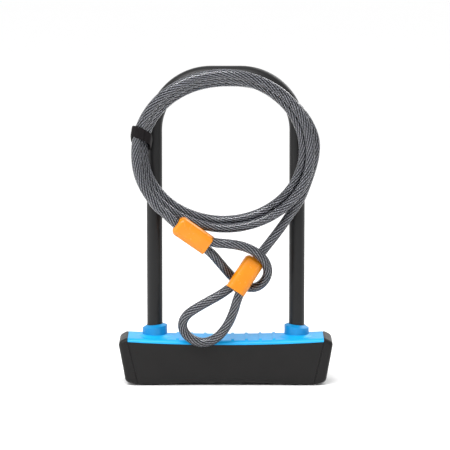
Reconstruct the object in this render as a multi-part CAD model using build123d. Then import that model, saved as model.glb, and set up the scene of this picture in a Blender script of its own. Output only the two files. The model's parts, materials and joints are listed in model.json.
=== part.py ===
from build123d import *
import math
import os

# U lock with a loop cable, standing on its crossbar, in millimetres.
# X runs along the crossbar, Z runs up the shackle's legs, and the cable hangs on the -Y side.
# The origin is at the bottom centre of the crossbar.

# ---- crossbar, outside ----
DEPTH = 42.0  # front to back
EDGE_R = 4.0  # rounding of the front and back edges
TIP_X, TIP_Z = 91.3, 43.8  # top corner at each end
WAIST_Z = 41.6  # top at the middle, a little lower than the ends
SHOULDER_X, SHOULDER_Z = 98.3, 40.0  # widest point of each end
HEEL_X, HEEL_Z = 91.5, 3.0  # lower corner of each end
PAD_OUT_X, PAD_IN_X = 79.0, 67.0  # flat pads that the lock stands on
ARCH_Z = 2.1  # the bottom is arched between the pads
SPLIT_END_Z, SPLIT_MID_Z = 40.6, 37.9  # joint between the blue top and the black cover
SEAM_X, SEAM_LEAN = 80.0, 0.233  # end cap seam at the bottom, and how it leans outwards
CAP_GAP = 0.3  # between each cap and the pieces beside it
PLAY = 0.3  # running clearance between pieces
TIP_R, SHOULDER_R, HEEL_R, PAD_R = 5.0, 4.8, 5.0, 12.0  # corners of the outline
SPLIT_RISE = 2.2  # rise of the joint beyond the ends
BEYOND = 120.0  # past every piece of the crossbar
SKY = 70.0  # above every piece of the crossbar

# ---- crossbar, inside ----
AXIS_Z = 21.6  # axis of the steel tube and of the deadbolts
TUBE_R, TUBE_BORE_R, TUBE_HALF = 16.0, 12.4, 80.0
SOCKET_R, SOCKET_FLOOR_Z = 8.3, 8.0
LINER_TOP_Z, LINER_BORE_R, LINER_FLOOR = 38.4, 6.9, 1.5
CUSHION_R, CUSHION_T = 6.6, 1.6
SPIGOT_R, SPIGOT_BORE_R, SPIGOT_END_X = 12.3, 9.0, 75.0

# ---- shackle ----
LEG_X = 65.0
BAR_R, SKIN_R = 6.5, 7.1  # 13 mm bar, 14.2 mm over its vinyl skin
BOW_Z, BOW_R = 284.4, 51.5  # centreline of the bow
FOOT_Z = 11.4
SKIN_FOOT_Z = 42.5
NOTCH_DEPTH, NOTCH_HALF_H = 4.6, 5.3
FOOT_CHAMFER = 1.2

# ---- collars round the legs ----
COLLAR_R, COLLAR_BORE_R = 11.3, 7.5
COLLAR_BASE_Z, COLLAR_RIM_Z, COLLAR_SLOPE = 38.6, 51.7, 7.3
COLLAR_CROWN = 2.6  # rise of the collar's top from its rim to the leg
SWELL_R, SWELL_Z, SWELL_TOP_Z = 17.0, 42.0, 44.8  # low swell of the blue top round each collar

# ---- grip ribs on the blue top ----
RIB_PITCH, RIB_W, RIB_L, RIB_H = 12.6, 2.6, 39.0, 1.2
RIBS_PER_SIDE = 4

# ---- lock cylinder, cam and deadbolts ----
HOUSING_R, HOUSING_BORE_R = 11.0, 6.6
HOUSING_Z0, HOUSING_Z1 = 5.2, 16.0
PLUG_R, PLUG_Z0, PLUG_Z1 = 6.4, 5.4, 17.4
KEYWAY_W, KEYWAY_L, KEYWAY_TOP_Z = 2.2, 8.4, 15.4
WAFER_W, WAFER_L, WAFER_T, WAFER_Z0, WAFER_PITCH, WAFERS = 5.4, 11.4, 0.8, 7.0, 1.7, 5
CLIP_R, GROOVE_R, CLIP_Z0, CLIP_T, CLIP_GAP = 7.7, 5.8, 16.2, 0.6, 3.0
CAM_R, CAM_T, TANG = 7.6, 1.8, 5.0
PIN_R, PIN_X, PIN_TOP_Z = 1.5, 2.5, 23.2
BOLT_R, BOLT_TIP_X, BOLT_TAIL_X, BOLT_CHAMFER = 4.75, 57.7, 9.0, 0.8
YOKE_T, YOKE_END_X, YOKE_ROOT_X, YOKE_Y0, YOKE_Y1 = 3.8, -6.3, 12.0, 0.3, 7.6
YOKE_SLOT_Y = 5.5
GUIDE_X0, GUIDE_X1, GUIDE_BORE_R = 22.0, 46.0, 5.0
CROSS_PIN_R, CROSS_PIN_Z, CROSS_PIN_Y0, CROSS_PIN_Y1 = 1.25, 12.4, 8.3, 11.9
DRILL_PIN_R, DRILL_PIN_Y, DRILL_PIN_Z0, DRILL_PIN_Z1 = 0.9, 8.8, 5.6, 11.0

# ---- dust cover under the keyhole ----
POCKET_X0, POCKET_X1, POCKET_HALF_Y = -10.8, 29.0, 8.2
POCKET_Z0, POCKET_Z1 = 3.3, 5.1
SHUTTER_X0, SHUTTER_X1, SHUTTER_HALF_Y = -10.4, 12.4, 8.0
SHUTTER_Z0, SHUTTER_Z1 = 3.5, 4.8
WINDOW_X0, WINDOW_X1, WINDOW_HALF_Y = -8.4, 10.6, 5.0
NUB_X0, NUB_X1, NUB_HALF_Y, NUB_Z0 = -8.0, -6.0, 3.5, 2.4
THUMB_HALF_X, THUMB_Z = 4.0, 2.7

# ---- cable ----
CABLE_D = 8.7
CABLE_R = CABLE_D / 2
COIL_X, COIL_Z, COIL_A, COIL_B = -0.4, 217.8, 87.0, 76.4  # outer outline of the coil, an ellipse
HOLE_X, HOLE_Z, HOLE_A, HOLE_B = -2.2, 215.0, 68.0, 58.8  # its open middle
COIL_BACK_Y, COIL_FRONT_Y, COIL_EDGE_R = -9.9, -35.0, 5.5

# ---- eye sleeves and crimps: each goes from its rounded end to its open mouth ----
SLEEVE_W, SLEEVE_T, SLEEVE_CORNER, SLEEVE_WALL = 18.6, 15.9, 5.8, 0.8
SLEEVE_DOME_R = 4.6
CRIMP_START, CRIMP_INSET = 5.0, 6.0  # from the rounded end, and from the mouth
UPPER_DOME, UPPER_MOUTH = (-44.6, -30.7, 151.2), (-16.0, -29.1, 131.0)
LOWER_DOME, LOWER_MOUTH = (27.5, -19.9, 117.4), (8.2, -27.1, 88.7)

# Centreline points of the cable where it isn't coiled, crimp face to crimp face.
LEAD = [
    (-40.1, -30.5, 148.1),
    (-47.8, -30.7, 153.7),
    (-56.5, -30.5, 162.4),
]
RUN = [
    (70.4, -14.3, 175.3),
    (61.8, -14.5, 162.0),
    (47.1, -16.2, 141.2),
    (33.5, -18.6, 124.1),
    (24.8, -20.9, 113.3),
]
UPPER_EYE = [
    (-19.4, -32.2, 138.1),
    (-10.6, -32.0, 133.9),
    (1.1, -31.8, 133.2),
    (14.2, -31.6, 131.2),
    (25.8, -31.4, 126.8),
    (35.0, -30.6, 118.6),
    (39.0, -25.8, 107.0),
    (35.2, -19.7, 95.8),
    (26.0, -14.5, 88.9),
    (13.6, -12.5, 91.6),
    (3.9, -13.3, 101.6),
    (-4.9, -19.0, 112.9),
    (-13.2, -24.4, 123.8),
    (-23.2, -26.7, 131.6),
]
LOWER_EYE = [
    (14.5, -28.6, 92.0),
    (10.5, -29.6, 82.0),
    (7.3, -29.1, 70.3),
    (2.3, -27.7, 58.5),
    (-4.6, -26.1, 48.6),
    (-12.5, -25.8, 42.5),
    (-21.4, -25.4, 40.4),
    (-31.0, -25.6, 43.6),
    (-38.1, -25.2, 50.5),
    (-39.8, -25.6, 58.7),
    (-36.5, -25.8, 65.9),
    (-29.2, -25.6, 71.5),
    (-16.6, -25.0, 78.7),
    (-5.2, -24.2, 84.8),
    (2.5, -23.6, 90.2),
    (8.7, -23.1, 95.5),
]

# ---- strap round the coil ----
STRAP_X, STRAP_Z, STRAP_W, STRAP_THICK = -76.8, 230.2, 10.3, 1.5
STRAP_TILT = 24.0  # degrees below level, seen from the front
STRAP_IN_U, STRAP_IN_V, STRAP_CORNER = 19.1, 25.2, 5.4

os.makedirs("parts", exist_ok=True)


def block(x0, x1, y0, y1, z0, z1):
    """A box between two corners."""
    middle = Pos((x0 + x1) / 2, (y0 + y1) / 2, (z0 + z1) / 2)
    return middle * Box(x1 - x0, y1 - y0, z1 - z0)


def rod(x, y, z0, z1, radius):
    """An upright cylinder between two heights."""
    return Pos(x, y, (z0 + z1) / 2) * Cylinder(radius, z1 - z0)


def rod_x(x0, x1, z, radius):
    """A level cylinder along X."""
    return Pos((x0 + x1) / 2, 0, z) * Rot(0, 90, 0) * Cylinder(radius, x1 - x0)


def rod_y(x, y0, y1, z, radius):
    """A level cylinder along Y."""
    return Pos(x, (y0 + y1) / 2, z) * Rot(90, 0, 0) * Cylinder(radius, y1 - y0)


def through_y(face, depth=DEPTH):
    """Extrude a face of the XZ plane to both sides of the shackle's plane."""
    return extrude(face, depth / 2, both=True)


def flat(points):
    """A face on the XZ plane from (x, z) corners."""
    return make_face(Plane.XZ * Polyline(*points, close=True))


def mirrored(shape):
    """The same shape on the other end of the lock."""
    return mirror(shape, Plane.YZ)


# ---------------------------------------------------------------- crossbar, outside


def corner_fillet(face, x, z, radius):
    """Round the corners of an XZ face at (x, z) and (-x, z)."""
    near = [v for v in face.vertices() if abs(abs(v.X) - x) < 0.1 and abs(v.Z - z) < 0.1]
    return fillet(near, radius)


def bar_envelope():
    """The whole outer shape of the crossbar, before it is split into cover, top and caps."""
    side = [(TIP_X, TIP_Z), (SHOULDER_X, SHOULDER_Z), (HEEL_X, HEEL_Z), (PAD_OUT_X, 0), (PAD_IN_X, 0)]
    other = [(-x, z) for x, z in side]
    top = ThreePointArc((-TIP_X, TIP_Z), (0, WAIST_Z), (TIP_X, TIP_Z))
    arch = ThreePointArc((-PAD_IN_X, 0), (0, ARCH_Z), (PAD_IN_X, 0))
    outline = Plane.XZ * (Curve() + [top, Polyline(*side), arch, Polyline(*other)])
    face = make_face(outline)
    face = corner_fillet(face, TIP_X, TIP_Z, TIP_R)
    face = corner_fillet(face, SHOULDER_X, SHOULDER_Z, SHOULDER_R)
    face = corner_fillet(face, HEEL_X, HEEL_Z, HEEL_R)
    face = corner_fillet(face, PAD_OUT_X, 0, PAD_R)
    solid = through_y(face)
    rims = [e for e in solid.edges() if abs(abs(e.center().Y) - DEPTH / 2) < 0.01]
    return fillet(rims, EDGE_R)


def cap_zone():
    """Everything outside the right-hand end cap seam."""
    seam_top_x = SEAM_X + SEAM_LEAN * SPLIT_END_Z
    points = [
        (SEAM_X, 0),
        (seam_top_x, SPLIT_END_Z),
        (seam_top_x, SKY),
        (BEYOND, SKY),
        (BEYOND, -1),
        (SEAM_X, -1),
    ]
    return through_y(flat(points), 2 * DEPTH)


def top_zone():
    """Everything above the joint between the blue top and the black cover."""
    rim_z = SPLIT_END_Z + SPLIT_RISE
    joint = ThreePointArc((-BEYOND, rim_z), (0, SPLIT_MID_Z), (BEYOND, rim_z))
    lid = Polyline((BEYOND, rim_z), (BEYOND, SKY), (-BEYOND, SKY), (-BEYOND, rim_z))
    return through_y(make_face(Plane.XZ * (Curve() + [joint, lid])), 2 * DEPTH)


def tube_space():
    """Channel in the cover that takes the steel tube, open to the top."""
    bore = rod_x(-BEYOND, BEYOND, AXIS_Z, TUBE_R)
    return bore + block(-BEYOND, BEYOND, -TUBE_R, TUBE_R, AXIS_Z, SKY)


def crossbar_cover(envelope):
    """Black channel: front, bottom and back in one moulding."""
    body = envelope - top_zone() - cap_zone() - mirrored(cap_zone()) - tube_space()
    body -= rod(0, 0, POCKET_Z1, AXIS_Z, HOUSING_R + PLAY)
    body -= block(POCKET_X0, POCKET_X1, -POCKET_HALF_Y, POCKET_HALF_Y, POCKET_Z0, POCKET_Z1)
    body -= block(WINDOW_X0, WINDOW_X1, -WINDOW_HALF_Y, WINDOW_HALF_Y, 0, POCKET_Z0)
    return body - block(-THUMB_HALF_X, THUMB_HALF_X, -DEPTH, DEPTH, 0, THUMB_Z)


def rib(x):
    """One low grip rib over the blue top, running down into its front and back edges."""
    crown_z = WAIST_Z + (TIP_Z - WAIST_Z) * (x / TIP_X) ** 2 + RIB_H
    section = Plane.YZ * Pos(0, crown_z - DEPTH / 2) * RectangleRounded(RIB_L, DEPTH, EDGE_R)
    bar = Pos(x, 0, 0) * extrude(section, RIB_W / 2, both=True)
    pill = Pos(x, 0, SPLIT_END_Z - EDGE_R) * Rot(0, 0, 90) * SlotOverall(RIB_L, RIB_W)
    return bar & extrude(pill, DEPTH) & top_zone()


def top_insert(envelope):
    """Blue strip that closes the channel, with its ribs."""
    body = (envelope & top_zone()) - cap_zone() - mirrored(cap_zone())
    for index in range(RIBS_PER_SIDE):
        x = (index + 0.5) * RIB_PITCH
        body += rib(x)
        body += rib(-x)
    for x in (-LEG_X, LEG_X):
        body += swell(x)
        body -= rod(x, 0, AXIS_Z, SKY, COLLAR_R)
    return body


def end_cap(envelope):
    """Right-hand black cap, with the spigot that plugs into the steel tube."""
    shell = envelope & (Pos(CAP_GAP, 0, 0) * cap_zone())
    spigot = rod_x(SPIGOT_END_X, TIP_X, AXIS_Z, SPIGOT_R)
    return shell + spigot - rod_x(LEG_X, TIP_X - 2, AXIS_Z, SPIGOT_BORE_R)


def swell(x):
    """Low swell of the blue top at the foot of a collar."""
    height = SWELL_TOP_Z - SWELL_Z
    return Pos(x, 0, SWELL_Z + height / 2) * Cone(SWELL_R, COLLAR_R, height)


def collar():
    """Blue boss round the right leg: its rim slants, and its top rises from the rim to the leg."""
    slant = Pos(LEG_X, 0, COLLAR_RIM_Z) * Rot(0, COLLAR_SLOPE, 0)
    below = slant * Pos(0, 0, -COLLAR_RIM_Z / 2) * Box(4 * COLLAR_R, 4 * COLLAR_R, COLLAR_RIM_Z)
    crown = slant * Pos(0, 0, COLLAR_CROWN / 2) * Cone(COLLAR_R + PLAY, BAR_R, COLLAR_CROWN)
    body = rod(LEG_X, 0, COLLAR_BASE_Z, SKY, COLLAR_R) & (below + crown)
    return body - rod(LEG_X, 0, AXIS_Z, SKY, COLLAR_BORE_R)


# ---------------------------------------------------------------- crossbar, inside


def crossbar_tube():
    """Steel tube, bored for both feet, for the cylinder and for its two pins."""
    body = rod_x(-TUBE_HALF, TUBE_HALF, AXIS_Z, TUBE_R)
    body -= rod_x(-BEYOND, BEYOND, AXIS_Z, TUBE_BORE_R)
    for x in (-LEG_X, LEG_X):
        body -= rod(x, 0, SOCKET_FLOOR_Z, SKY, SOCKET_R)
    body -= rod(0, 0, 0, AXIS_Z, HOUSING_R + PLAY / 2)
    return body - rod_y(0, -DEPTH, DEPTH, CROSS_PIN_Z, CROSS_PIN_R)


def socket_liner():
    """Plastic cup in the right socket, with a window for the deadbolt."""
    body = rod(LEG_X, 0, SOCKET_FLOOR_Z, LINER_TOP_Z, SOCKET_R)
    body -= rod(LEG_X, 0, SOCKET_FLOOR_Z + LINER_FLOOR, SKY, LINER_BORE_R)
    return body - rod_x(LEG_X - 2 * SOCKET_R, LEG_X, AXIS_Z, BOLT_R + PLAY)


def foot_cushions():
    """A rubber pad under each foot."""
    floor = SOCKET_FLOOR_Z + LINER_FLOOR
    pad = rod(LEG_X, 0, floor, floor + CUSHION_T, CUSHION_R)
    return Compound([pad, mirrored(pad)])


def bolt_guide():
    """Bush that carries the right deadbolt inside the tube."""
    body = rod_x(GUIDE_X0, GUIDE_X1, AXIS_Z, TUBE_BORE_R)
    return body - rod_x(GUIDE_X0 - 1, GUIDE_X1 + 1, AXIS_Z, GUIDE_BORE_R)


def cylinder_housing():
    """Fixed body of the lock cylinder."""
    body = rod(0, 0, HOUSING_Z0, HOUSING_Z1, HOUSING_R) - rod(0, 0, 0, SKY, HOUSING_BORE_R)
    for y in (-DRILL_PIN_Y, DRILL_PIN_Y):
        body -= rod(0, y, DRILL_PIN_Z0, DRILL_PIN_Z1, DRILL_PIN_R)
    body -= rod_y(0, CROSS_PIN_Y0, DEPTH, CROSS_PIN_Z, CROSS_PIN_R)
    return body - rod_y(0, -DEPTH, -CROSS_PIN_Y0, CROSS_PIN_Z, CROSS_PIN_R)


def pin_pair(make):
    """A pin and its twin on the other side of the cylinder."""
    pin = make()
    return Compound([pin, mirror(pin, Plane.XZ)])


def housing_pin():
    """Cross pin between the housing and the tube."""
    return rod_y(0, CROSS_PIN_Y0, CROSS_PIN_Y1, CROSS_PIN_Z, CROSS_PIN_R)


def drill_pin():
    """Hard pin beside the keyway."""
    return rod(0, DRILL_PIN_Y, DRILL_PIN_Z0, DRILL_PIN_Z1, DRILL_PIN_R)


# ---------------------------------------------------------------- lock parts that move


def wafer_heights():
    """Lower face of each wafer."""
    return [WAFER_Z0 + index * WAFER_PITCH for index in range(WAFERS)]


def plug():
    """Turning core, with its keyway and one slot for each wafer."""
    body = rod(0, 0, PLUG_Z0, PLUG_Z1, PLUG_R)
    body += block(-TANG / 2, TANG / 2, -TANG / 2, TANG / 2, PLUG_Z1, PLUG_Z1 + CAM_T)
    body -= block(-KEYWAY_W / 2, KEYWAY_W / 2, -KEYWAY_L / 2, KEYWAY_L / 2, 0, KEYWAY_TOP_Z)
    for z in wafer_heights():
        half_x, half_y = WAFER_W / 2, WAFER_L / 2
        body -= block(-half_x, half_x, -half_y, half_y, z, z + WAFER_T)
    groove = rod(0, 0, CLIP_Z0, CLIP_Z0 + CLIP_T, CLIP_R) - rod(0, 0, 0, SKY, GROOVE_R)
    return body - groove


def wafers():
    """Brass wafers, level with the plug as a key holds them."""
    made = []
    for z in wafer_heights():
        plate = block(-WAFER_W / 2, WAFER_W / 2, -WAFER_L / 2, WAFER_L / 2, z, z + WAFER_T)
        window = block(-KEYWAY_W / 2, KEYWAY_W / 2, -KEYWAY_L / 2, KEYWAY_L / 2, 0, KEYWAY_TOP_Z)
        made.append(plate - window)
    return Compound(made)


def plug_clip():
    """Open ring that keeps the plug in its housing."""
    ring = rod(0, 0, CLIP_Z0, CLIP_Z0 + CLIP_T, CLIP_R) - rod(0, 0, 0, SKY, GROOVE_R)
    return ring - block(0, 2 * CLIP_R, -CLIP_GAP / 2, CLIP_GAP / 2, 0, SKY)


def drive_cam():
    """Disc on the plug, with two pins that push the deadbolts."""
    body = rod(0, 0, PLUG_Z1, PLUG_Z1 + CAM_T, CAM_R)
    body += rod(-PIN_X, PIN_X, PLUG_Z1, PIN_TOP_Z, PIN_R)
    body += rod(PIN_X, -PIN_X, PLUG_Z1, PIN_TOP_Z, PIN_R)
    return body - block(-TANG / 2, TANG / 2, -TANG / 2, TANG / 2, 0, PLUG_Z1 + CAM_T)


def deadbolt():
    """Right deadbolt: a round bar with a slotted yoke over one cam pin."""
    z0, z1 = AXIS_Z - YOKE_T / 2, AXIS_Z + YOKE_T / 2
    bar = rod_x(BOLT_TAIL_X, BOLT_TIP_X, AXIS_Z, BOLT_R)
    bar = chamfer(bar.edges().sort_by(Axis.X)[-1], BOLT_CHAMFER)
    yoke = block(YOKE_END_X, YOKE_ROOT_X, YOKE_Y0, YOKE_Y1, z0, z1)
    slot_half = PIN_R + PLAY
    slot = block(-PIN_X - slot_half, -PIN_X + slot_half, -YOKE_Y0, YOKE_SLOT_Y, z0 - 1, z1 + 1)
    return bar + (yoke - slot)


def dust_cover():
    """Shutter in the pocket under the keyhole, with a nub for a fingertip."""
    plate = block(SHUTTER_X0, SHUTTER_X1, -SHUTTER_HALF_Y, SHUTTER_HALF_Y, SHUTTER_Z0, SHUTTER_Z1)
    return plate + block(NUB_X0, NUB_X1, -NUB_HALF_Y, NUB_HALF_Y, NUB_Z0, SHUTTER_Z1)


# ---------------------------------------------------------------- shackle


def bow_path(foot_z):
    """Centreline of the U, from foot to foot."""
    points = [(-LEG_X, 0, foot_z), (-LEG_X, 0, BOW_Z), (LEG_X, 0, BOW_Z), (LEG_X, 0, foot_z)]
    return FilletPolyline(*points, radius=BOW_R)


def round_sweep(path, radius):
    """A round bar along a path."""
    start = Plane(origin=path @ 0, z_dir=path % 0)
    return sweep(start * Circle(radius), path=path)


def shackle_bar():
    """Hardened steel U, with a notch on the inner side of each foot."""
    bar = round_sweep(bow_path(FOOT_Z), BAR_R)
    rims = [e for e in bar.edges() if e.center().Z < FOOT_Z + 0.1]
    bar = chamfer(rims, FOOT_CHAMFER)
    inner = LEG_X - BAR_R
    low, high = AXIS_Z - NOTCH_HALF_H, AXIS_Z + NOTCH_HALF_H
    notch = block(inner - 1, inner + NOTCH_DEPTH, -DEPTH, DEPTH, low, high)
    return bar - notch - mirrored(notch)


def shackle_skin():
    """Vinyl skin over the bar, from collar to collar."""
    return round_sweep(bow_path(SKIN_FOOT_Z), SKIN_R) - round_sweep(bow_path(SKIN_FOOT_Z - 5), BAR_R)


# ---------------------------------------------------------------- cable


def bend_radii(points):
    """Radius of the arc at each inner point: as large as its two runs allow."""
    radii = []
    for before, here, after in zip(points, points[1:], points[2:]):
        run_in, run_out = Vector(here) - Vector(before), Vector(after) - Vector(here)
        half_turn = math.radians(run_in.get_angle(run_out)) / 2
        radii.append(0.45 * min(run_in.length, run_out.length) / math.tan(half_turn))
    return radii


def cable_tube(name, points):
    """A stretch of cable along straight runs and tangent arcs."""
    radii = bend_radii(points)
    path = FilletPolyline(*points, radius=radii)
    solid = round_sweep(path, CABLE_R)
    expected = math.pi * CABLE_R**2 * path.length
    print(name, "radii", [round(r, 1) for r in radii], "length", round(path.length, 1))
    print(name, "volume over section times length", round(solid.volume / expected, 4))
    return solid


def sleeve_frame(dome, mouth):
    """Plane at a sleeve's rounded end: Z along the sleeve, X across it."""
    along = (Vector(mouth) - Vector(dome)).normalized()
    across = along.cross(Vector(0, 1, 0)).normalized()
    return Plane(origin=dome, x_dir=across, z_dir=along)


def sleeve_length(dome, mouth):
    """Length of a sleeve, from its rounded end to its mouth."""
    return (Vector(mouth) - Vector(dome)).length


def sleeve_block(length, inset):
    """A rounded bar with the sleeve's section, made smaller by inset."""
    width, thick = SLEEVE_W - 2 * inset, SLEEVE_T - 2 * inset
    return extrude(RectangleRounded(width, thick, SLEEVE_CORNER - inset), length)


def eye_sleeve(dome, mouth):
    """Orange sleeve: rounded and nearly closed at one end, open at the other."""
    length = sleeve_length(dome, mouth)
    outer = sleeve_block(length, 0)
    outer = fillet(outer.faces().sort_by(Axis.Z)[0].edges(), SLEEVE_DOME_R)
    outer -= Pos(0, 0, CRIMP_START - 1) * sleeve_block(length, SLEEVE_WALL)
    outer -= Cylinder(CABLE_R + PLAY / 3, length)
    return sleeve_frame(dome, mouth) * outer


def crimp(dome, mouth):
    """Metal crimp inside a sleeve, over both legs of the eye."""
    length = sleeve_length(dome, mouth) - CRIMP_START - CRIMP_INSET
    body = Pos(0, 0, CRIMP_START) * sleeve_block(length, SLEEVE_WALL + PLAY / 3)
    return sleeve_frame(dome, mouth) * body


def coil_ring():
    """Outer shape of the coil: an oval ring."""
    outer = Plane.XZ * Pos(COIL_X, COIL_Z) * Ellipse(COIL_A, COIL_B)
    hole = Plane.XZ * Pos(HOLE_X, HOLE_Z) * Ellipse(HOLE_A, HOLE_B)
    ring = extrude(outer - hole, -COIL_FRONT_Y + COIL_BACK_Y)
    ring = Pos(0, COIL_BACK_Y, 0) * ring
    return fillet(ring.edges(), COIL_EDGE_R)


def cable_coil():
    """The coil's solid, cleared where the upper sleeve lies against it."""
    length = sleeve_length(UPPER_DOME, UPPER_MOUTH)
    room = Pos(0, 0, -PLAY) * sleeve_block(length + PLAY, -PLAY)
    return coil_ring() - sleeve_frame(UPPER_DOME, UPPER_MOUTH) * room


def cable_strap():
    """Hook-and-loop band round the coil, drawn along the coil's own direction."""
    tilt = math.radians(STRAP_TILT)
    middle_y = (COIL_BACK_Y + COIL_FRONT_Y) / 2
    across = (math.cos(tilt), 0, -math.sin(tilt))
    upright = (math.sin(tilt), 0, math.cos(tilt))
    plane = Plane(origin=(STRAP_X, middle_y, STRAP_Z), x_dir=across, z_dir=upright)
    grow = 2 * STRAP_THICK
    band = RectangleRounded(STRAP_IN_U + grow, STRAP_IN_V + grow, STRAP_CORNER + STRAP_THICK)
    band -= RectangleRounded(STRAP_IN_U, STRAP_IN_V, STRAP_CORNER)
    slope = (STRAP_Z - COIL_Z) / COIL_B * COIL_A / (STRAP_X - COIL_X)
    tangent = Vector(-slope, 0, 1).normalized()
    return extrude(plane * band, STRAP_W / 2, dir=tangent, both=True)


# ---------------------------------------------------------------- write the pieces


def pieces():
    """Every node of the lock, by name."""
    envelope = bar_envelope()
    cap, boss, liner = end_cap(envelope), collar(), socket_liner()
    guide, bolt = bolt_guide(), deadbolt()
    return {
        "crossbar_cover": crossbar_cover(envelope),
        "top_insert": top_insert(envelope),
        "end_cap_right": cap,
        "end_cap_left": mirrored(cap),
        "collar_right": boss,
        "collar_left": mirrored(boss),
        "crossbar_tube": crossbar_tube(),
        "socket_liner_right": liner,
        "socket_liner_left": mirrored(liner),
        "foot_cushions": foot_cushions(),
        "bolt_guide_right": guide,
        "bolt_guide_left": mirrored(guide),
        "cylinder_housing": cylinder_housing(),
        "housing_pins": pin_pair(housing_pin),
        "anti_drill_pins": pin_pair(drill_pin),
        "plug": plug(),
        "wafers": wafers(),
        "plug_clip": plug_clip(),
        "drive_cam": drive_cam(),
        "deadbolt_right": bolt,
        "deadbolt_left": Rot(0, 0, 180) * bolt,
        "dust_cover": dust_cover(),
        "shackle_bar": shackle_bar(),
        "shackle_skin": shackle_skin(),
        "cable_coil": cable_coil(),
        "cable_lead": cable_tube("cable_lead", LEAD),
        "cable_run": cable_tube("cable_run", RUN),
        "cable_eye_upper": cable_tube("cable_eye_upper", UPPER_EYE),
        "cable_eye_lower": cable_tube("cable_eye_lower", LOWER_EYE),
        "sleeve_upper": eye_sleeve(UPPER_DOME, UPPER_MOUTH),
        "sleeve_lower": eye_sleeve(LOWER_DOME, LOWER_MOUTH),
        "crimp_upper": crimp(UPPER_DOME, UPPER_MOUTH),
        "crimp_lower": crimp(LOWER_DOME, LOWER_MOUTH),
        "cable_strap": cable_strap(),
    }


for node, shape in pieces().items():
    export_step(shape, f"parts/{node}.step")
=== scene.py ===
import json
import math

import bpy
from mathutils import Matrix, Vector


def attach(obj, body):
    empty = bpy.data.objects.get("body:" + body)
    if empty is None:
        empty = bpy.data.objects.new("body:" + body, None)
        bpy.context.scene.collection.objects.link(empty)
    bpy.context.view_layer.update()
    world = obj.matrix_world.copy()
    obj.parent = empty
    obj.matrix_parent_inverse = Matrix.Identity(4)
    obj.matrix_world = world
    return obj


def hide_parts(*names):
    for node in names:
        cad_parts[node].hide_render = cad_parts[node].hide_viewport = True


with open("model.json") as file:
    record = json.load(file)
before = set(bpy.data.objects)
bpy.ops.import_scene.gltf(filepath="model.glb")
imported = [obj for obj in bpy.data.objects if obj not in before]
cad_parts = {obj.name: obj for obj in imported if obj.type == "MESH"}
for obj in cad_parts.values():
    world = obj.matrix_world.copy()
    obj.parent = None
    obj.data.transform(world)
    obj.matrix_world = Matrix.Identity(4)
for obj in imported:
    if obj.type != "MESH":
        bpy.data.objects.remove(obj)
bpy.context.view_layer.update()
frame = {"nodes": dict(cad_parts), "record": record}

# U lock with a loop cable, in metres. X runs along the crossbar and Z up the shackle's legs.

# ---- camera ----
CAMERA_PLACE = (-0.0007, -2.966, 0.594)
CAMERA_TILT = 81.4  # degrees from straight down
CAMERA_LENS = 262.7

# ---- studio ----
FLOOR_HALF = 6.0
SURROUND_POWER = 0.90
SUN_POWER, SUN_SPREAD = 0.5, 40.0
SUN_AIM = (0.30, 0.55, -1.0)
LIGHTS_AIM = (0, 0, 0.14)
# Soft panel lights: name, place, size and power.
PANELS = [
    ("key", (-0.25, -0.55, 1.10), (0.9, 0.5), 11.0),
    ("rim", (0.55, 0.70, 0.80), (0.6, 0.6), 4.0),
    ("side", (-1.00, -0.40, 0.45), (0.5, 0.8), 2.5),
]

# ---- cable ----
CABLE_D = 0.0087
CORE_R = 0.00375  # the rope of steel strands inside the clear vinyl
STRANDS = 10
STRAND_LAY = 0.060  # length along the cable for one turn of its strands
STRAND_POINTS = 6  # points round each strand's outer side
ROPE_STEP = 0.0012
WIRE_PITCH = 0.0025  # length along the cable for one unit of the wire pattern
CURVE_STEPS, BEVEL_STEPS = 12, 5
VINYL_SMOKE = 520.0  # how dark the vinyl gets with depth, per metre

# Control points of the cable where it isn't coiled.
UPPER_TAIL = (-0.0310, -0.0328, 0.1464)
UPPER_EYE = [
    (-0.0194, -0.0322, 0.1381),
    (-0.0106, -0.0320, 0.1339),
    (0.0011, -0.0318, 0.1332),
    (0.0142, -0.0316, 0.1312),
    (0.0258, -0.0314, 0.1268),
    (0.0350, -0.0306, 0.1186),
    (0.0390, -0.0258, 0.1070),
    (0.0352, -0.0197, 0.0958),
    (0.0260, -0.0145, 0.0889),
    (0.0136, -0.0125, 0.0916),
    (0.0039, -0.0133, 0.1016),
    (-0.0049, -0.0190, 0.1129),
    (-0.0132, -0.0244, 0.1238),
    (-0.0232, -0.0267, 0.1316),
]
LEAD = [
    (-0.0345, -0.0287, 0.1418),
    (-0.0478, -0.0307, 0.1537),
    (-0.0565, -0.0305, 0.1624),
]
RUN = [
    (0.0704, -0.0143, 0.1753),
    (0.0618, -0.0145, 0.1620),
    (0.0471, -0.0162, 0.1412),
    (0.0335, -0.0186, 0.1241),
    (0.0248, -0.0209, 0.1133),
    (0.0198, -0.0254, 0.1027),
]
LOWER_EYE = [
    (0.0145, -0.0286, 0.0920),
    (0.0105, -0.0296, 0.0820),
    (0.0073, -0.0291, 0.0703),
    (0.0023, -0.0277, 0.0585),
    (-0.0046, -0.0261, 0.0486),
    (-0.0125, -0.0258, 0.0425),
    (-0.0214, -0.0254, 0.0404),
    (-0.0310, -0.0256, 0.0436),
    (-0.0381, -0.0252, 0.0505),
    (-0.0398, -0.0256, 0.0587),
    (-0.0365, -0.0258, 0.0659),
    (-0.0292, -0.0256, 0.0715),
    (-0.0166, -0.0250, 0.0787),
    (-0.0052, -0.0242, 0.0848),
    (0.0025, -0.0236, 0.0902),
    (0.0087, -0.0231, 0.0955),
]
LOWER_TAIL = (0.0147, -0.0211, 0.1043)

# The coil's turns run clockwise from its left side, between an outer and an inner oval.
OUTER_OVAL = (-0.0004, 0.2178, 0.08265, 0.07205)  # centre x, centre z, half width, half height
INNER_OVAL = (-0.0022, 0.2150, 0.0723, 0.0631)
POINTS_PER_TURN = 16
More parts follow.
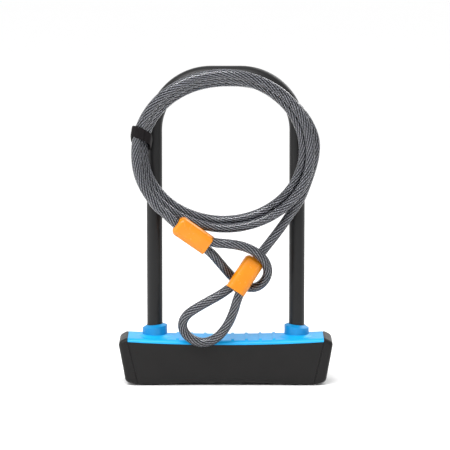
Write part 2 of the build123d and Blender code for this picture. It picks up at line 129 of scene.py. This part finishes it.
# How the cable lies in the coil: turns from the left side, place across the band from the
# inner oval (0) to the outer one (1), and y.
COIL_LAY = [
    (-0.125, 1.25, -0.0306),
    (0.000, 0.72, -0.0306),
    (0.125, 0.78, -0.0304),
    (0.250, 0.80, -0.0302),
    (0.375, 0.66, -0.0289),
    (0.500, 0.50, -0.0246),
    (0.625, 0.80, -0.0225),
    (0.750, 1.00, -0.0217),
    (0.875, 0.75, -0.0219),
    (1.000, 0.40, -0.0225),
    (1.125, 0.40, -0.0228),
    (1.250, 0.42, -0.0232),
    (1.375, 0.22, -0.0229),
    (1.500, 0.00, -0.0180),
    (1.625, 0.00, -0.0153),
    (1.750, 0.00, -0.0145),
    (1.875, 0.00, -0.0143),
    (2.250, 0.00, -0.0143),
    (2.375, 0.50, -0.0143),
    (2.500, 1.00, -0.0143),
]

# ---- strap ----
STRAP_PLACE = (-0.0761, -0.02245, 0.2282)
STRAP_TILT = 24.0  # degrees below level, seen from the front
STRAP_PITCH = 22.0  # degrees that the front rides higher than the back
STRAP_WIDTH, STRAP_THICK = 0.0100, 0.0012
STRAP_HALF_ACROSS, STRAP_HALF_DEEP, STRAP_CORNER = 0.0094, 0.0141, 0.0066  # the middle of its thickness
STRAP_SLOPE = 0.165  # how far the coil leans where the strap lies, per metre of height
STRAP_TAIL = 0.0035  # free end beyond the bundle
# In strap thicknesses: how far out the second lap lies, and how far each step of the free end falls back.
LAP_LIFT, TAIL_FALL = 1.05, 0.10
FLAT_STEPS, CORNER_STEPS, TAIL_STEPS, SECTION_STEPS = 12, 8, 4, 16
EDGE_ROUNDING, FACE_ROUNDING = 0.35, 0.7  # 1 is an oval section, and near 0 a square one


# ---------------------------------------------------------------- camera, floor and lights


def make_camera():
    data = bpy.data.cameras.new("camera")
    data.lens = CAMERA_LENS
    data.sensor_width = 36
    data.clip_start, data.clip_end = 0.01, 50
    camera = bpy.data.objects.new("camera", data)
    camera.location = CAMERA_PLACE
    camera.rotation_euler = (math.radians(CAMERA_TILT), 0, 0)
    bpy.context.scene.collection.objects.link(camera)
    bpy.context.scene.camera = camera


def link_object(name, data):
    made = bpy.data.objects.new(name, data)
    bpy.context.scene.collection.objects.link(made)
    return made


def mesh_object(name, points, faces, smooth=True):
    mesh = bpy.data.meshes.new(name)
    mesh.from_pydata([tuple(p) for p in points], [], faces)
    mesh.polygons.foreach_set("use_smooth", [smooth] * len(mesh.polygons))
    mesh.update()
    return link_object(name, mesh)


def panel_light(name, place, size, power):
    data = bpy.data.lights.new(name, "AREA")
    data.shape = "RECTANGLE"
    data.size, data.size_y = size
    data.energy = power
    light = link_object(name, data)
    light.visible_camera = False
    light.location = place
    light.rotation_euler = (Vector(LIGHTS_AIM) - Vector(place)).to_track_quat("-Z", "Y").to_euler()


def soft_sun():
    """A broad overhead softbox, far enough away to light the whole floor evenly."""
    data = bpy.data.lights.new("overhead", "SUN")
    data.energy = SUN_POWER
    data.angle = math.radians(SUN_SPREAD)
    sun = link_object("overhead", data)
    sun.rotation_euler = Vector(SUN_AIM).to_track_quat("-Z", "Y").to_euler()


def make_studio():
    """A pale floor, a pale surround, an overhead softbox and three soft panels."""
    half = FLOOR_HALF
    corners = [(-half, -half, 0), (half, -half, 0), (half, half, 0), (-half, half, 0)]
    floor = mesh_object("floor", corners, [(0, 1, 2, 3)], smooth=False)
    floor.data.materials.append(floor_material())
    world = bpy.data.worlds.new("studio")
    world.use_nodes = True
    background = world.node_tree.nodes["Background"]
    background.inputs["Color"].default_value = (1, 1, 1, 1)
    background.inputs["Strength"].default_value = SURROUND_POWER
    bpy.context.scene.world = world
    soft_sun()
    for panel in PANELS:
        panel_light(*panel)


# ---------------------------------------------------------------- materials


class Shader:
    """One node material, built on its Principled shader."""

    def __init__(self, name, colour, roughness, **sockets):
        self.material = bpy.data.materials.new(name)
        self.material.use_nodes = True
        self.tree = self.material.node_tree
        self.surface = self.tree.nodes["Principled BSDF"]
        self.surface.inputs["Base Color"].default_value = (*colour, 1)
        self.surface.inputs["Roughness"].default_value = roughness
        for socket, value in sockets.items():
            self.surface.inputs[socket.replace("_", " ")].default_value = value
        self.place = self.tree.nodes.new("ShaderNodeTexCoord").outputs["Object"]

    def node(self, kind, feeds=None, **inputs):
        made = self.tree.nodes.new("ShaderNode" + kind)
        for socket, value in (feeds or {}).items():
            self.tree.links.new(value, made.inputs[socket])
        for socket, value in inputs.items():
            made.inputs[socket.replace("_", " ")].default_value = value
        return made

    def noise(self, scale, detail=2.0, place=None):
        """Noise with about that many features in a metre."""
        made = self.node("TexNoise", {"Vector": place or self.place}, Scale=scale, Detail=detail)
        return made.outputs["Fac"]

    def stretched(self, scale):
        """Object places, scaled apart along each axis."""
        return self.node("Mapping", {"Vector": self.place}, Scale=scale).outputs["Vector"]

    def spread(self, factor, low, high, from_low=0.3, from_high=0.7):
        """The factor, carried from one range to another."""
        made = self.node(
            "MapRange",
            {"Value": factor},
            From_Min=from_low,
            From_Max=from_high,
            To_Min=low,
            To_Max=high,
        )
        return made.outputs["Result"]

    def tint(self, factor, dark, light, low=0.3, high=0.7):
        """Base colour between two colours."""
        ramp = self.node("ValToRGB", {"Fac": factor})
        ramp.color_ramp.elements[0].position = low
        ramp.color_ramp.elements[1].position = high
        ramp.color_ramp.elements[0].color = (*dark, 1)
        ramp.color_ramp.elements[1].color = (*light, 1)
        self.tree.links.new(ramp.outputs["Color"], self.surface.inputs["Base Color"])

    def gloss(self, factor, low, high):
        """Roughness between two values."""
        self.tree.links.new(self.spread(factor, low, high), self.surface.inputs["Roughness"])

    def relief(self, *layers):
        """Bump from (height, depth in metres) layers, one on top of the other."""
        normal = None
        for height, depth in layers:
            feeds = {"Height": height}
            if normal:
                feeds["Normal"] = normal
            normal = self.node("Bump", feeds, Strength=1.0, Distance=depth).outputs["Normal"]
        self.tree.links.new(normal, self.surface.inputs["Normal"])


def floor_material():
    shader = Shader("floor_paper", (0.96, 0.96, 0.96), 0.9)
    shader.gloss(shader.noise(40), 0.85, 0.95)
    return shader.material


def moulded_plastic(name, colour, roughness, grain=0.00003, **sockets):
    """Moulded plastic: a fine spark-eroded grain and a faint unevenness in colour and gloss."""
    shader = Shader(name, colour, roughness, **sockets)
    cloud = shader.noise(60)
    shader.tint(cloud, [c * 0.93 for c in colour], [min(1.0, c * 1.06) for c in colour])
    shader.gloss(shader.noise(240), roughness - 0.04, roughness + 0.05)
    shader.relief((shader.noise(2600), grain), (shader.noise(90), grain * 2))
    return shader.material


def brushed_metal(name, colour, roughness, along):
    """Machined metal with fine lines across one axis."""
    shader = Shader(name, colour, roughness, Metallic=1.0)
    lines = shader.noise(500, 4.0, shader.stretched(along))
    shader.tint(lines, [c * 0.8 for c in colour], colour)
    shader.gloss(lines, roughness - 0.06, roughness + 0.10)
    shader.relief((lines, 0.00002))
    return shader.material


def rubber(name, colour):
    shader = Shader(name, colour, 0.75)
    shader.tint(shader.noise(120), [c * 0.8 for c in colour], [c * 1.2 for c in colour])
    shader.gloss(shader.noise(300), 0.68, 0.82)
    shader.relief((shader.noise(1800, 3.0), 0.00006))
    return shader.material


def steel_strands():
    """Galvanised strands with faint wires across them, their colour darkened towards the furrows between
    strands as painted shade.
    """
    shader = Shader("wire_strands", (0.5, 0.5, 0.52), 0.36, Metallic=0.6)
    wound = shader.node("TexCoord").outputs["UV"]
    across = shader.node("SeparateXYZ", {"Vector": wound}).outputs["X"]
    crest = shader.node("Math", {"Value": across})
    crest.operation = "PINGPONG"
    crest.inputs[1].default_value = 0.5
    wires = shader.node("TexWave", {"Vector": wound}, Scale=0.6, Distortion=0.8)
    wires.bands_direction = "DIAGONAL"
    # Painted shade: the strands' colour falls to near black towards the furrows between them, then the
    # wire pattern scales it.
    furrow_shade = shader.spread(crest.outputs[0], 0.0, 1.0, 0.06, 0.46)
    furrow_shade_and_wires = shader.node("Math", {"Value": furrow_shade})
    furrow_shade_and_wires.operation = "MULTIPLY"
    shader.tree.links.new(shader.spread(wires.outputs["Fac"], 0.60, 1.0, 0.2, 0.8), furrow_shade_and_wires.inputs[1])
    shader.tint(furrow_shade_and_wires.outputs[0], (0.010, 0.010, 0.011), (0.64, 0.65, 0.69), 0.05, 0.95)
    shader.gloss(shader.noise(900), 0.42, 0.56)
    shader.relief((wires.outputs["Fac"], 0.00003))
    return shader.material


def strap_fabric():
    """Black hook-and-loop tape: a soft pile with a faint sheen over a fine weave."""
    shader = Shader("strap_fabric", (0.005, 0.004, 0.0045), 0.62, Specular_IOR_Level=0.12)
    pile = shader.noise(1500, 3.0)
    shader.tint(pile, (0.002, 0.0015, 0.002), (0.009, 0.007, 0.008))
    shader.gloss(pile, 0.52, 0.72)
    shader.relief((shader.noise(2400, 2.0), 0.00010), (shader.noise(500), 0.00008))
    return shader.material


def clear_vinyl():
    """Smoky clear vinyl over the strands, slightly wavy from its extrusion."""
    shader = Shader("clear_vinyl", (0.78, 0.79, 0.82), 0.12, Transmission_Weight=1.0, IOR=1.42)
    shader.relief((shader.noise(130), 0.00005))
    smoke = shader.node("VolumeAbsorption", Color=(0.30, 0.30, 0.34, 1), Density=VINYL_SMOKE)
    shader.tree.links.new(smoke.outputs["Volume"], shader.tree.nodes["Material Output"].inputs["Volume"])
    return shader.material


# ---------------------------------------------------------------- cable


def coil_lay(turn):
    """Place across the band and y at that many turns from the left side."""
    for (t0, across0, y0), (t1, across1, y1) in zip(COIL_LAY, COIL_LAY[1:]):
        if turn <= t1:
            share = (turn - t0) / (t1 - t0)
            return across0 + (across1 - across0) * share, y0 + (y1 - y0) * share
    return COIL_LAY[-1][1:]


def coil_points():
    """Control points of the coil's turns."""
    first, last = COIL_LAY[0][0], COIL_LAY[-1][0]
    spread = 1 / math.cos(math.pi / POINTS_PER_TURN)  # the spline passes inside its control points
    points = []
    for index in range(round((last - first) * POINTS_PER_TURN) + 1):
        turn = first + index / POINTS_PER_TURN
        across, y = coil_lay(turn)
        angle = math.pi - 2 * math.pi * turn
        ovals = []
        for x, z, half_width, half_height in (INNER_OVAL, OUTER_OVAL):
            ovals.append(Vector((
                x + half_width * spread * math.cos(angle),
                y,
                z + half_height * spread * math.sin(angle),
            )))
        points.append(ovals[0].lerp(ovals[1], across))
    return points


def route_curve(name, points):
    """A NURBS curve through the route, with no thickness."""
    data = bpy.data.curves.new(name, "CURVE")
    data.dimensions = "3D"
    data.resolution_u = CURVE_STEPS
    spline = data.splines.new("NURBS")
    spline.points.add(len(points) - 1)
    for point, place in zip(spline.points, points):
        point.co = (*place, 1)
    spline.order_u = 3
    spline.use_endpoint_u = True
    return link_object(name, data)


def line_of(curve):
    """Points of a curve's own line, evenly spaced."""
    mesh = bpy.data.meshes.new_from_object(curve)
    raw = [v.co.copy() for v in mesh.vertices]
    bpy.data.meshes.remove(mesh)
    line, reach = [raw[0]], 0.0
    for here, after in zip(raw, raw[1:]):
        step = (after - here).length
        while reach + step >= ROPE_STEP * len(line):
            share = (ROPE_STEP * len(line) - reach) / step
            line.append(here.lerp(after, share))
        reach += step
    return line


def frames_along(line):
    """(place, side, up) along a line, turned as little as possible from one to the next."""
    made = []
    side = Vector((0, 1, 0))
    for index, place in enumerate(line):
        before, after = line[max(index - 1, 0)], line[min(index + 1, len(line) - 1)]
        along = (after - before).normalized()
        side = (side - along * side.dot(along)).normalized()
        made.append((place, side, along.cross(side)))
    return made


def tube_faces(rings, count, turned=False):
    """Quads between rings of points and a cap on each end, turned where the rings run the other way."""
    faces = []
    for low in range(0, (rings - 1) * count, count):
        high = low + count
        for index in range(count):
            after = (index + 1) % count
            first, *others = low + index, low + after, high + after, high + index
            faces.append((first, *reversed(others)) if turned else (first, *others))
    start, end = tuple(range(count)), tuple(range((rings - 1) * count, rings * count))
    faces += [start, end[::-1]] if turned else [start[::-1], end]
    return faces


def strand_profile():
    """(angle, radius) round the rope's section: the outer sides of touching round strands."""
    half = math.pi / STRANDS
    lay_r = CORE_R / (1 + math.sin(half))
    strand_r = lay_r * math.sin(half)
    profile = []
    for strand in range(STRANDS):
        for step in range(STRAND_POINTS):
            off = half * (2 * step / STRAND_POINTS - 1)
            radius = lay_r * math.cos(off) + math.sqrt(max(strand_r**2 - (lay_r * math.sin(off)) ** 2, 0))
            profile.append((2 * half * strand + off, radius))
    return profile


def make_rope(line):
    """The steel strands, laid in a long helix along the line."""
    profile = strand_profile()
    count = len(profile)
    points = []
    for index, (place, side, up) in enumerate(frames_along(line)):
        twist = 2 * math.pi * index * ROPE_STEP / STRAND_LAY
        for angle, radius in profile:
            points.append(place + (side * math.cos(angle + twist) + up * math.sin(angle + twist)) * radius)
    rope = mesh_object("cable_strands", points, tube_faces(len(line), count))
    lay_wire_coordinates(rope.data, count)
    rope.data.materials.append(steel_strands())
    return rope


def lay_wire_coordinates(mesh, count):
    """UV on the strands: strands round the rope, and wire turns along it."""
    layer = mesh.uv_layers.new(name="wires")
    for face in mesh.polygons:
        wraps = max(v % count for v in face.vertices) - min(v % count for v in face.vertices) > count / 2
        for corner in face.loop_indices:
            vertex = mesh.loops[corner].vertex_index
            around = vertex % count
            if wraps and around == 0:
                around = count
            layer.data[corner].uv = (around / STRAND_POINTS, vertex // count * ROPE_STEP / WIRE_PITCH)


def make_cable(strap):
    route = [Vector(p) for p in [UPPER_TAIL] + UPPER_EYE + LEAD]
    route += coil_points()
    route += [Vector(p) for p in RUN + LOWER_EYE + [LOWER_TAIL]]
    cable = route_curve("cable_vinyl", route)
    rope = make_rope(line_of(cable))
    cable.data.bevel_depth = CABLE_D / 2
    cable.data.bevel_resolution = BEVEL_STEPS
    cable.data.use_fill_caps = True
    cable.data.materials.append(clear_vinyl())
    for piece in (cable, rope):
        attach(piece, "cable")
    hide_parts("cable_coil", "cable_lead", "cable_run", "cable_eye_upper", "cable_eye_lower")


# ---------------------------------------------------------------- strap


def strap_outline():
    """(across, deep, outward across, outward deep) from the front's left end, round the back."""
    corner_x = STRAP_HALF_ACROSS - STRAP_CORNER
    corner_y = STRAP_HALF_DEEP - STRAP_CORNER
    outline = []
    for sign_x, sign_y, start in ((-1, -1, 270), (-1, 1, 180), (1, 1, 90), (1, -1, 0)):
        for step in range(CORNER_STEPS + 1):
            angle = math.radians(start - 90 * step / CORNER_STEPS)
            out_x, out_y = math.cos(angle), math.sin(angle)
            place_x = sign_x * corner_x + STRAP_CORNER * out_x
            outline.append((place_x, sign_y * corner_y + STRAP_CORNER * out_y, out_x, out_y))
    return outline


def strap_laps():
    """The strap's line: once round the bundle, over its own start, and a short free end."""
    front = -STRAP_HALF_DEEP
    corner = STRAP_HALF_ACROSS - STRAP_CORNER
    lifted = front - LAP_LIFT * STRAP_THICK
    across = [corner * (1 - 2 * step / FLAT_STEPS) for step in range(FLAT_STEPS)]
    first_lap = [(x, front, 0, -1) for x in across[1:]]
    second_lap = [(x, lifted, 0, -1) for x in across]
    tail = []
    for step in range(1, TAIL_STEPS + 1):
        fall = TAIL_FALL * step
        x = -corner - STRAP_TAIL * step / TAIL_STEPS
        tail.append((x, lifted + fall * STRAP_THICK, fall, -1))
    return first_lap + strap_outline() + second_lap + tail


def strap_section():
    """(along its width, out from it) round a flat band with rolled edges."""
    section = []
    for step in range(SECTION_STEPS):
        angle = 2 * math.pi * step / SECTION_STEPS
        side = math.copysign(abs(math.cos(angle)) ** EDGE_ROUNDING, math.cos(angle))
        face = math.copysign(abs(math.sin(angle)) ** FACE_ROUNDING, math.sin(angle))
        section.append((side * STRAP_WIDTH / 2, face * STRAP_THICK / 2))
    return section


def make_strap():
    """A flat hook-and-loop band with rolled edges, wound round the coil."""
    tilt = math.radians(STRAP_TILT)
    across = Vector((math.cos(tilt), 0, -math.sin(tilt)))
    pitch = math.radians(STRAP_PITCH)
    deep = Vector((0, math.cos(pitch), -math.sin(pitch)))
    width = Vector((STRAP_SLOPE, 0, 1)).normalized()
    section = strap_section()
    points = []
    laps = strap_laps()
    for x, y, out_x, out_y in laps:
        middle = Vector(STRAP_PLACE) + across * x + deep * y
        out = (across * out_x + deep * out_y).normalized()
        points += [middle + width * along + out * height for along, height in section]
    faces = tube_faces(len(laps), len(section), turned=True)
    strap = mesh_object("strap_band", points, faces)
    strap.data.materials.append(strap_fabric())
    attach(strap, "cable")
    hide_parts("cable_strap")
    return strap


# ---------------------------------------------------------------- the CAD pieces' finishes


FINISHES = {
    "black_cover": moulded_plastic("black_cover", (0.009, 0.0085, 0.0085), 0.38, Specular_IOR_Level=0.18),
    "blue_top": moulded_plastic("blue_top", (0.003, 0.345, 0.74), 0.34, Specular_IOR_Level=0.3),
    "blue_collar": moulded_plastic("blue_collar", (0.001, 0.215, 0.49), 0.38, Specular_IOR_Level=0.3),
    "hardened_steel": brushed_metal("hardened_steel", (0.26, 0.26, 0.27), 0.34, (1, 1, 14)),
    "nylon": moulded_plastic("nylon", (0.62, 0.60, 0.55), 0.5),
    "foot_rubber": rubber("foot_rubber", (0.02, 0.02, 0.02)),
    "brass": brushed_metal("brass", (0.76, 0.55, 0.24), 0.30, (1, 1, 20)),
    "cam_steel": brushed_metal("cam_steel", (0.50, 0.50, 0.52), 0.36, (12, 1, 1)),
    "vinyl_skin": moulded_plastic("vinyl_skin", (0.008, 0.008, 0.0085), 0.38, Specular_IOR_Level=0.25),
    "crimp_metal": brushed_metal("crimp_metal", (0.40, 0.40, 0.42), 0.42, (1, 8, 1)),
    "orange_sleeve": moulded_plastic("orange_sleeve", (0.64, 0.205, 0.003), 0.24, Specular_IOR_Level=0.4),
}


def finish_nodes():
    """Give every CAD node the finish of its material slot."""
    for subpart in frame["record"]["subparts"]:
        finish = FINISHES.get(subpart["material_slot"])
        if finish:
            for slot in frame["nodes"][subpart["node"]].material_slots:
                slot.material = finish


# ---------------------------------------------------------------- the scene


make_camera()
make_studio()
make_cable(make_strap())
finish_nodes()

bpy.context.scene.view_settings.view_transform = "Standard"
